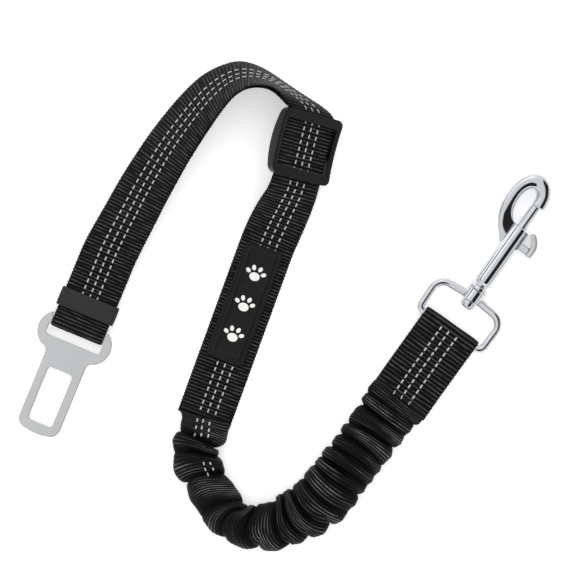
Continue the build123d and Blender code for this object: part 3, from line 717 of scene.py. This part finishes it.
def cover_shape(line, side, pitch, depth):
    """The gathered cover's surface as a function of the way along it and the angle round it.

    The way along is cut by creases that run from side to side. Between two creases the fraction of the way from
    one to the next gives a rounded pleat, the root of a sine. The half width on each side goes from its value at
    the crease to the pleat's own, and the height rises by the pleat's depth. Finer folds and the woven ribs follow
    the same fraction, so they bend as the creases do.
    """
    stops = stations(line)
    ribbon = Ribbon(line - side, line + side)
    scale = ribbon.length / CREASES[-1, 1]
    inner, outer, bow = CREASES[:, 0] * scale, CREASES[:, 1] * scale, CREASES[:, 2]
    gaps = np.maximum(np.diff(inner), np.diff(outer))
    ribs = np.concatenate([[0], np.cumsum(gaps * 1.02 / pitch)])
    table = np.array(COVER_ROUTE)
    nearest = [np.argmin(np.linalg.norm(line[:, :2] - row[:2], axis=1)) for row in table]
    at_route, heights = stops[nearest], table[:, 3]

    def pleats(s, x):
        """The number of creases behind a point, and the fraction of the way on to the next."""
        crease = inner + (outer - inner) * (x[..., None] + 1) / 2 + bow * (1 - x[..., None] ** 2)
        crease[..., 0] = -0.001
        steps = (s[..., None] - crease[..., :-1]) / (crease[..., 1:] - crease[..., :-1])
        return np.clip(steps, 0, 1).sum(-1)

    def half_width(s, column, stop):
        """The cover's half width on one side, from its value at a crease out to the pleat's own and back."""
        count = np.interp(s, stop, np.arange(len(stop)))
        base = np.interp(count, np.arange(len(stop)), CREASES[:, 3 + column])
        peak = CREASES[np.minimum(count.astype(int), len(stop) - 1), 5 + column]
        rise = np.sin(np.pi * (count % 1)) ** 0.5
        return base + (peak - base) * rise

    def place(s, angle, out):
        """A point of the surface, moved out by a distance, with its pattern coordinates and the strength of the
        painted crest highlight on it.
        """
        x = np.cos(angle)
        y = squared(np.sin(angle), 0.86)
        count = pleats(s, x)
        part = count % 1
        ends = np.clip(np.minimum(s, ribbon.length - s) / 9, 0, 1)
        ends = ends * ends * (3 - 2 * ends)
        rise = np.sin(np.pi * part) ** 0.7
        folds = 0.36 * np.sin(2 * np.pi * (count * 2.0 + 0.35 * wander(s * 0.11, x * 1.3, 41)) + 1.2 * x)
        folds = folds + 0.22 * wander(s * 0.9, x * 2.5, 43)
        weave = np.interp(count, np.arange(len(ribs)), ribs) + 0.35 * wander(s * 0.35, x * 1.6, 47)
        rib = rib_profile(weave) * 0.32
        wide = np.where(x < 0, half_width(s, 0, inner), half_width(s, 1, outer))
        tall = np.interp(s, at_route, heights) / 2
        lateral = x * (wide + 0.5 * rib + folds * 0.35 * ends)
        level_out = y * (tall - depth * 0.7 * ends + ends * depth * rise + folds * ends + rib)
        side_now = unit(at(ribbon.stops, ribbon.across, s))
        point = at(ribbon.stops, ribbon.centre, s)
        point = point + side_now * (lateral + out * x)[..., None] + UP * (level_out + out * y)[..., None]
        point[..., 2] = np.maximum(point[..., 2], LIFT + 0.02 * (1 + y))
        # Painted light and shade: lit makes the crest highlight stronger on some pleats than on others and where
        # the finer folds bulge out, and rise takes it away in the creases, where shade falls.
        lit = np.clip(0.6 + 1.7 * wander(count * 2.3, x * 1.4, 53) + 0.6 * folds, 0.12, 1.3)
        return point, np.stack([weave * pitch, lateral], -1), rise ** 2 * lit * ends + (1 - ends) * 0.45

    return ribbon, place


class TETHER_OT_elastic(bpy.types.Operator):
    """Gathers the cover over its elastic core"""

    bl_idname = "tether.elastic"
    bl_label = "Gather the Elastic Cover"

    def execute(self, context):
        settings = context.scene.tether_cover
        # Webbing gathered over the elastic: a pale painted highlight on the ribs on top of each pleat, black in
        # the creases where shade falls.
        cloth = woven("Gathered black polyester webbing", settings.yarn, settings.rib_pitch * 1000, "#808083")
        line, side = cover_frame()
        ribbon, place = cover_shape(line, side, settings.rib_pitch * 1000, settings.pleat_depth * 1000)
        s = np.linspace(0, ribbon.length, 760)[:, None]
        s, angle = np.broadcast_arrays(s, around(96)[None, :])
        points, pattern, painted_highlight = place(s, angle, np.zeros(s.shape))
        cover = grid_piece("elastic_cover", points, cloth, pattern, painted_highlight)
        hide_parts("bungee_cover")

        s, angle = np.broadcast_arrays(np.linspace(6, ribbon.length - 5, 260)[:, None], around(20)[None, :])
        across = 5.4 * np.cos(angle)
        points = ribbon.place(s, across, 1.15 * np.sin(angle) + 0.06 * np.sin(s * 7))
        # Rubber strands braided over with yarn: dark grey, finely ribbed, with a painted highlight on the rib
        # crests, seen only where the cover gapes.
        braid = woven("Braided elastic", linear("#272729"), 0.9)
        core = grid_piece("elastic_core", points, braid, np.stack([s, across], -1))
        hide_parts("bungee_core")

        shiny = bpy.data.materials["Reflective polyester thread"]
        # Where the thread comes out of the folds: the way along the cover, and the share of its half width across.
        spots = np.array([(2.2, 0.28), (5.4, 0.26), (8.8, 0.25), (2.0, 0.02), (5.0, 0.0), (8.2, -0.04),
                          (2.4, -0.24), (5.4, -0.28), (8.0, -0.3), (21.6, -0.22), (24.6, -0.2), (27.2, -0.24),
                          (22.4, -0.5), (25.6, -0.52)])
        dashes = lay_on("cover_dashes", lambda a, b, c: place(a, np.arccos(np.clip(b / 10, -1, 1)), c + 0.05)[0],
                        spots[:, 0], spots[:, 1] * 10, (1.7, 0.74, 0.2), shiny)
        for piece in (cover, core, dashes):
            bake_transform(piece)
        return {"FINISHED"}


class TETHER_OT_label(bpy.types.Operator):
    """Moulds the rubber label with its raised border and paw prints"""

    bl_idname = "tether.label"
    bl_label = "Mould the Label"

    def execute(self, context):
        settings = context.scene.tether_label
        # Soft rubber, moulded in a finely blasted tool: deep black with a low, even shine on its raised border.
        rubber = grained("Moulded black rubber", settings.rubber, 0.5, 0.5, 0.05, Specular_IOR_Level=0.25)
        # Silicone ink, printed thick: a clean, faintly domed white.
        ink = grained("White silicone print", settings.print, 0.55, 0.3, 0.02)
        low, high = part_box("label_patch")
        centre = np.array((low + high) / 2) * 1000
        place = centre * np.array([1, 1, 0]) + np.array([0, 0, low[2] * 1000])
        self.patch(place, settings.border * 1000, rubber)
        self.paws(place, ink)
        return {"FINISHED"}

    def patch(self, place, border_width, rubber):
        """The label: a rounded rectangle with a raised border and a moulded seam outside it.

        Its height depends on the distance in from the rim: a quarter circle at the rim, a flat-topped bell for the
        border and a narrow bell, upside down, for the seam.
        """
        wide, long = 17.6 / 2, 54.0 / 2
        u, v = (np.linspace(-1, 1, count) for count in (150, 64))
        u, v = (np.sign(w) * (1 - (1 - np.abs(w)) ** 1.3) for w in (u, v))
        v, u = np.meshgrid(v * wide, u * long)
        rounding = 1.6
        gap_x = np.maximum(np.abs(v) - (wide - rounding), 0)
        gap_y = np.maximum(np.abs(u) - (long - rounding), 0)
        gap = np.hypot(gap_x, gap_y)
        inset = np.where(gap > 0, rounding - gap, np.minimum(wide - np.abs(v), long - np.abs(u)))
        inset = np.maximum(inset, 0)
        squeeze = np.where(gap > rounding, rounding / np.maximum(gap, 1e-6), 1)
        v = np.sign(v) * (np.minimum(np.abs(v), wide - rounding) + gap_x * squeeze)
        u = np.sign(u) * (np.minimum(np.abs(u), long - rounding) + gap_y * squeeze)
        edge = np.sqrt(np.clip(1 - (1 - np.clip(inset / 0.6, 0, 1)) ** 2, 0, 1))
        ridge = np.exp(-((inset - 2.9) / (border_width / 2)) ** 4) * 0.38
        seam = -np.exp(-((inset - 1.5) / 0.25) ** 2) * 0.16
        top = 0.25 + 1.05 * edge + ridge + seam
        grid = np.stack([v, u, top], -1)
        rows, columns = grid.shape[:2]
        ring = border(np.arange(rows * columns).reshape(rows, columns))
        under = np.arange(len(ring)) + rows * columns
        points = np.vstack([grid.reshape(-1, 3), border(grid) * np.array([1, 1, 0])])
        points = place + points[:, :1] * LABEL_SIDE + points[:, 1:2] * -LABEL_ALONG + points[:, 2:] * UP
        faces = upward(points, grid_faces(rows, columns, False))
        walls = np.stack([ring, under, np.roll(under, -1), np.roll(ring, -1)], -1)
        patch = make_piece("rubber_label", points, np.vstack([faces, walls]), [under], rubber)
        settle(patch, "strap", "patch_rubber", "label_patch")

    def paws(self, place, ink):
        """Three paw prints: over each pad's ellipse a low dome, the root of one minus the radius squared."""
        pads = []  # across and along the label, half length across and along, and the turn in degrees
        for step in (-14.5, 0.0, 14.5):
            pads.append((0.0, step - 1.6, 2.6, 2.1, 0))
            pads += [(4.1 * np.cos(np.radians(t)), step - 1.6 + 4.1 * np.sin(np.radians(t)), 1.0, 1.35, t - 90)
                     for t in (28, 68, 112, 152)]
        pads = np.array(pads)
        radius = np.array([0.0, 0.5, 0.8, 0.95, 1.0])[None, :, None]
        angle = around(20)[None, None, :]
        turn = np.radians(pads[:, 4])[:, None, None]
        a = pads[:, 2][:, None, None] * radius * np.cos(angle)
        b = pads[:, 3][:, None, None] * radius * np.sin(angle)
        x = pads[:, 0][:, None, None] + a * np.cos(turn) - b * np.sin(turn)
        y = pads[:, 1][:, None, None] + a * np.sin(turn) + b * np.cos(turn)
        z = 1.15 + 0.4 * np.sqrt(1 - radius ** 2 * 0.999) + 0 * x
        grid = place + x[..., None] * LABEL_SIDE + y[..., None] * -LABEL_ALONG + z[..., None] * UP
        faces = upward(grid[0].reshape(-1, 3), grid_faces(5, 20, True))
        faces = (faces[None] + np.arange(len(pads))[:, None, None] * 100).reshape(-1, 4)
        lids = [np.arange(80, 100) + 100 * k for k in range(len(pads))]
        settle(make_piece("paws", grid.reshape(-1, 3), faces, lids, ink), "strap", "white_print", "paw_prints")


class TETHER_OT_stitching(bpy.types.Operator):
    """Sews the close rows of slanted stitches that hold the folded ends"""

    bl_idname = "tether.stitching"
    bl_label = "Sew the Bar Tacks"

    def execute(self, context):
        # Twisted filament, pulled tight: black on black, seen by the small glint along each stitch.
        nylon = thread("Twisted black nylon thread", context.scene.tether_webbing.thread, 0.38, 1800.0, 0.6)
        self.row("label_tack", LABEL_END - unit(LABEL_END - LABEL_START) * 3.0, LABEL_SIDE, UP, 22, 0.68, nylon,
                 "strap", "cover_tack")
        self.row("tab_stitches", SNAP_ORIGIN * np.array([1, 1, 0]) + SNAP_ALONG * 3.0, SNAP_SIDE, UP, 26,
                 LIFT + 2.78, nylon, "end_tab", "tab_tack")
        self.row("loop_stitches", ADJUSTER_CENTRE + ADJUSTER_ALONG * -11.0, ADJUSTER_EDGE, -ADJUSTER_OUT, 22, 3.56,
                 nylon, "adjuster", "loop_tack")
        return {"FINISHED"}

    def row(self, name, origin, side, out, count, rise, material, body, node):
        """A row of slanted stitches a millimetre apart, each laid 18 degrees off square to the row."""
        along = np.cross(out, side)
        lean = np.radians(18)
        first = np.arange(count) - (count - 1) / 2

        def place(s, x, z):
            parts = ((x - s * np.sin(lean), side), (s * np.cos(lean), along), (z + rise, out))
            return origin + sum(amount[..., None] * direction for amount, direction in parts)

        stitches = lay_on(name, place, np.zeros(count), first, (2.1, 0.5, 0.24), material)
        settle(stitches, body, "black_thread", node)


class TETHER_OT_keeper(bpy.types.Operator):
    """Moulds the keeper band round both layers"""

    bl_idname = "tether.keeper"
    bl_label = "Mould the Keeper"

    def execute(self, context):
        # Dusty, lightly textured rubber: greyer than the label, and it hardly shines.
        rubber = grained("Moulded matt keeper rubber", context.scene.tether_hardware.keeper, 0.62, 0.35, 0.04,
                         Specular_IOR_Level=0.35)
        centre = BAR_CENTRE + TONGUE_ALONG * 11.0
        round_band = around(120)[:, None]
        wall = around(28)[None, :]
        x = squared(np.cos(round_band), 0.22) * 13.25
        z = squared(np.sin(round_band), 0.22) * 2.18
        nx, nz = np.cos(round_band) ** 3 * 0.9, np.sin(round_band) ** 3 * 0.9
        size = np.sqrt(nx ** 2 + nz ** 2)
        out, length = squared(np.cos(wall), 0.5) * 0.46, squared(np.sin(wall), 0.5) * 4.3
        x, z = x + nx / size * out, z + nz / size * out
        grid = centre + x[..., None] * TONGUE_SIDE + z[..., None] * UP + (length + 0 * x)[..., None] * TONGUE_ALONG
        points = grid.reshape(-1, 3)
        faces = outward(points, grid_faces(*grid.shape[:2], closed=True, looped=True))
        settle(make_piece("keeper_band", points, faces, [], rubber), "keeper", "keeper_rubber", "strap_keeper")
        return {"FINISHED"}


class TETHER_OT_hardware(bpy.types.Operator):
    """Finishes the tongue, adjuster, ring, hook and plunger"""

    bl_idname = "tether.hardware"
    bl_label = "Finish the Hardware"

    def execute(self, context):
        settings = context.scene.tether_hardware
        # Stamped steel, zinc plated and tumbled: pale grey with a soft, broad shine.
        steel = grained("Satin zinc-plated steel", settings.steel, 0.3, 0.5, 0.003, 0.04, rounding=0.7,
                        Metallic=1.0)
        # Die-cast zinc, polished and chromed: mirror bright with faint handling marks.
        chrome = grained("Chromed zinc", settings.chrome, 0.06, 2.5, 0.004, 0.03, Metallic=1.0)
        # Injection-moulded acetal with a fine spark-eroded grain: dark, half matt.
        plastic = grained("Moulded black acetal", settings.plastic, 0.36, 0.35, 0.02, rounding=1.0,
                          Specular_IOR_Level=0.28)
        # Hard-drawn wire, left bare: darker than the chrome round it, with a thin bright line on each turn.
        wire = grained("Drawn spring steel", linear("#A0A0A2"), 0.2, 0.6, 0.01, 0.05, Metallic=1.0)
        # The same plating over the knob, whose cast edges are worn much rounder.
        knob = grained("Chromed zinc knob", settings.chrome, 0.1, 2.5, 0.004, 0.03, rounding=1.6, Metallic=1.0)
        for node, material in (("belt_tongue", steel), ("slide_adjuster", plastic), ("d_ring", chrome),
                               ("swivel_stud", chrome), ("plunger_pin", chrome), ("thumb_knob", knob)):
            finish_node(node, material)
        self.hook(chrome)
        self.spring(wire)
        return {"FINISHED"}

    def spring(self, wire):
        """The bolt's return spring: a round wire wound along a helix inside the barrel.

        Along the wire the angle grows by one turn each pitch, and the coil's radius stays the same. In the real
        snap the spring is pressed towards the closed end of its bore as the bolt is drawn back; this coil rides on
        the hook and keeps its length.
        """
        first, last, radius, gauge, pitch = 67.4, 81.6, 1.9, 0.25, 1.9
        turn = np.linspace(0, 2 * np.pi * (last - first) / pitch, 240)
        s = first + turn / (2 * np.pi) * pitch
        side, top = np.cos(turn)[:, None], np.sin(turn)[:, None]
        out = SNAP_SIDE * side + UP * top
        angle = around(8)[None, :, None]
        centre = SNAP_ORIGIN + s[:, None] * SNAP_ALONG + out * radius
        ring = out[:, None] * np.cos(angle) * gauge + SNAP_ALONG * np.sin(angle) * gauge
        coil = grid_piece("return_spring", centre[:, None] + ring, wire)
        settle(coil, "hook", "spring_steel", "plunger_spring")
        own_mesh(coil)

    def hook(self, chrome):
        """The hook: a turned barrel with a collar and a knob slot, and a cast bend with rounded edges.

        The barrel's radius follows its profile along the axis and drops to the bore inside the slot, whose window
        is a product of two smooth steps. The bend is an oval section, its width the gap between the outer and the
        inner outline, its thickness swelling from the flat web to the round nose.
        """
        profile = np.array([(61.5, 0.02), (61.5, 4.2), (61.75, 4.65), (62.1, 4.7), (62.9, 4.7), (63.3, 4.55),
                            (64.2, 3.55), (64.8, 3.5), (66.0, 4.2), (66.5, 4.4), (95.0, 4.4), (95.5, 4.25),
                            (95.8, 3.8), (95.8, 2.75), (90.0, 2.72), (68.0, 2.7), (67.0, 0.02)])
        stops = stations(np.column_stack([profile, np.zeros(len(profile))]))
        line = at(stops, profile, np.linspace(0, stops[-1], 320))
        s, r = line[:, :1], line[:, 1:]
        angle = around(120)[None, :]
        off = np.abs(np.sin(angle)) * 4.4
        across = np.clip((1.6 - off) / 0.35, 0, 1) * (np.cos(angle) > 0)
        along = np.clip(np.minimum(s - 75.6, 91.2 - s) / 0.35, 0, 1)
        r = np.where(r > 3, r - (r - 2.85) * across * along, r)
        axis = SNAP_ORIGIN + s[..., None] * SNAP_ALONG
        barrel = axis + (r * np.cos(angle))[..., None] * SNAP_SIDE + (r * np.sin(angle))[..., None] * UP
        settle(grid_piece("hook_barrel", barrel, chrome), "hook", "chrome_zinc", "hook_body")

        table = np.array(HOOK_BEND)
        outer, inner, thick = (smooth_line(np.column_stack([table[:, i:i + 2], 0 * table[:, 0]]))[:, :2]
                               for i in (0, 2, 4))
        angle = around(72)[None, :]
        power = thick[:, 1:2]
        x, y = squared(np.cos(angle), power), squared(np.sin(angle), power)
        middle, half = (outer + inner) / 2, (outer - inner) / 2
        plan = middle[:, None] + half[:, None] * x[..., None]
        bend = SNAP_ORIGIN + plan[..., :1] * SNAP_SIDE + plan[..., 1:] * SNAP_ALONG
        bend = bend + (y * thick[:, :1])[..., None] * UP
        settle(grid_piece("hook_bend", bend, chrome), "hook", "chrome_zinc")


class TETHER_OT_stage(bpy.types.Operator):
    """Sets the floor, the soft light and the camera that looks straight down"""

    bl_idname = "tether.stage"
    bl_label = "Set the Stage"

    def execute(self, context):
        settings = context.scene.tether_stage
        scene = context.scene
        scene.view_settings.view_transform = "Standard"
        # A sheet of white acrylic lit from below, as on a product table: it takes the weight out of the shadows.
        paper = grained("Backlit white acrylic floor", settings.floor, 0.9, 0.4, 0.02, Emission_Color=(1, 1, 1, 1),
                        Emission_Strength=settings.backlight)
        corners = np.array([(-2500, -2500, 0), (2500, -2500, 0), (2500, 2500, 0), (-2500, 2500, 0)], float)
        floor = make_piece("floor", corners, np.array([[0, 1, 2, 3]]), [], paper)

        world = bpy.data.worlds.new("Soft studio")
        world.use_nodes = True
        sky = world.node_tree
        ray = add(sky, "TexCoord")
        height = add(sky, "SeparateXYZ", Vector=ray.outputs["Generated"])
        level_light = add(sky, "MapRange", Value=height.outputs["Z"], i1=0.86, i2=0.96,
                          i3=settings.fill, i4=settings.overhead)
        sky.nodes["Background"].inputs["Color"].default_value = (1, 1, 1, 1)
        sky.links.new(level_light.outputs[0], sky.nodes["Background"].inputs["Strength"])
        scene.world = world

        # Pressed black card: it takes all the light, so it draws the dark lines in the chrome.
        card = new_material("Black studio card", Base_Color=linear("#0D0D0D"), Roughness=1.0)[0]
        for name, near, far in (("card_right", 8, 50), ("card_line", 74, 80), ("card_left", -62, -50)):
            self.card(name, near, far, card)
        self.light("key_light", (-0.7, 1.5, 1.1), settings.key_power, 2.2)
        self.light("rim_light", (0.4, -1.5, 0.9), settings.key_power * 0.5, 2.2)

        camera = bpy.data.cameras.new("camera")
        camera.lens = 171.0
        camera.sensor_width = 36.0
        camera.clip_end = 20
        holder = bpy.data.objects.new("camera", camera)
        holder.location = (-0.0018, 0.0110, 1.2)
        scene.collection.objects.link(holder)
        scene.camera = holder
        return {"FINISHED"}

    def card(self, name, near, far, material):
        """A long dark card that only mirrors see, between two angles from overhead about the snap's axis."""
        near, far = np.radians(near), np.radians(far)
        middle = SNAP_ORIGIN + SNAP_ALONG * 80
        corners = [middle + SNAP_ALONG * end * 1500 + (SNAP_SIDE * np.sin(a) + UP * np.cos(a)) * 1400
                   for a in (near, far) for end in (-1, 1)]
        piece = make_piece(name, np.array(corners), np.array([[0, 1, 3, 2]]), [], material)
        piece.visible_camera = piece.visible_diffuse = piece.visible_shadow = piece.visible_transmission = False

    def light(self, name, place, power, size):
        """A square soft light that looks at the middle of the tether."""
        lamp = bpy.data.lights.new(name, "AREA")
        lamp.energy, lamp.size = power, size
        holder = bpy.data.objects.new(name, lamp)
        place = np.array(place, float)
        w = unit(place)
        u = unit(np.cross(UP, w))
        v = np.cross(w, u)
        holder.matrix_world = Matrix([(u[i], v[i], w[i], place[i]) for i in range(3)] + [(0, 0, 0, 1)])
        bpy.context.scene.collection.objects.link(holder)


class TETHER_PT_panel(bpy.types.Panel):
    """Lists the tether's pieces in the sidebar"""

    bl_label = "Seat Belt Tether"
    bl_idname = "TETHER_PT_panel"
    bl_space_type = "VIEW_3D"
    bl_region_type = "UI"
    bl_category = "Tether"

    def draw(self, context):
        for operator in OPERATORS:
            self.layout.operator(operator.bl_idname)
        for name in GROUPS:
            box = self.layout.box()
            group = getattr(context.scene, name)
            for setting in GROUPS[name].__annotations__:
                box.prop(group, setting)


GROUPS = {
    "tether_webbing": TetherWebbing, "tether_cover": TetherCover, "tether_label": TetherLabel,
    "tether_hardware": TetherHardware, "tether_stage": TetherStage,
}
OPERATORS = (
    TETHER_OT_stage, TETHER_OT_webbing, TETHER_OT_sewn_ends, TETHER_OT_elastic, TETHER_OT_label,
    TETHER_OT_stitching, TETHER_OT_keeper, TETHER_OT_hardware,
)


def register():
    """Registers the settings, the operators and the panel."""
    for name, group in GROUPS.items():
        bpy.utils.register_class(group)
        setattr(bpy.types.Scene, name, PointerProperty(type=group))
    for item in (*OPERATORS, TETHER_PT_panel):
        bpy.utils.register_class(item)


def unregister():
    """Takes them away again."""
    for item in (TETHER_PT_panel, *reversed(OPERATORS)):
        bpy.utils.unregister_class(item)
    for name, group in GROUPS.items():
        delattr(bpy.types.Scene, name)
        bpy.utils.unregister_class(group)


def main():
    """Builds every piece in order."""
    register()
    for operator in OPERATORS:
        section, name = operator.bl_idname.split(".")
        getattr(getattr(bpy.ops, section), name)()


if __name__ == "__main__":
    main()
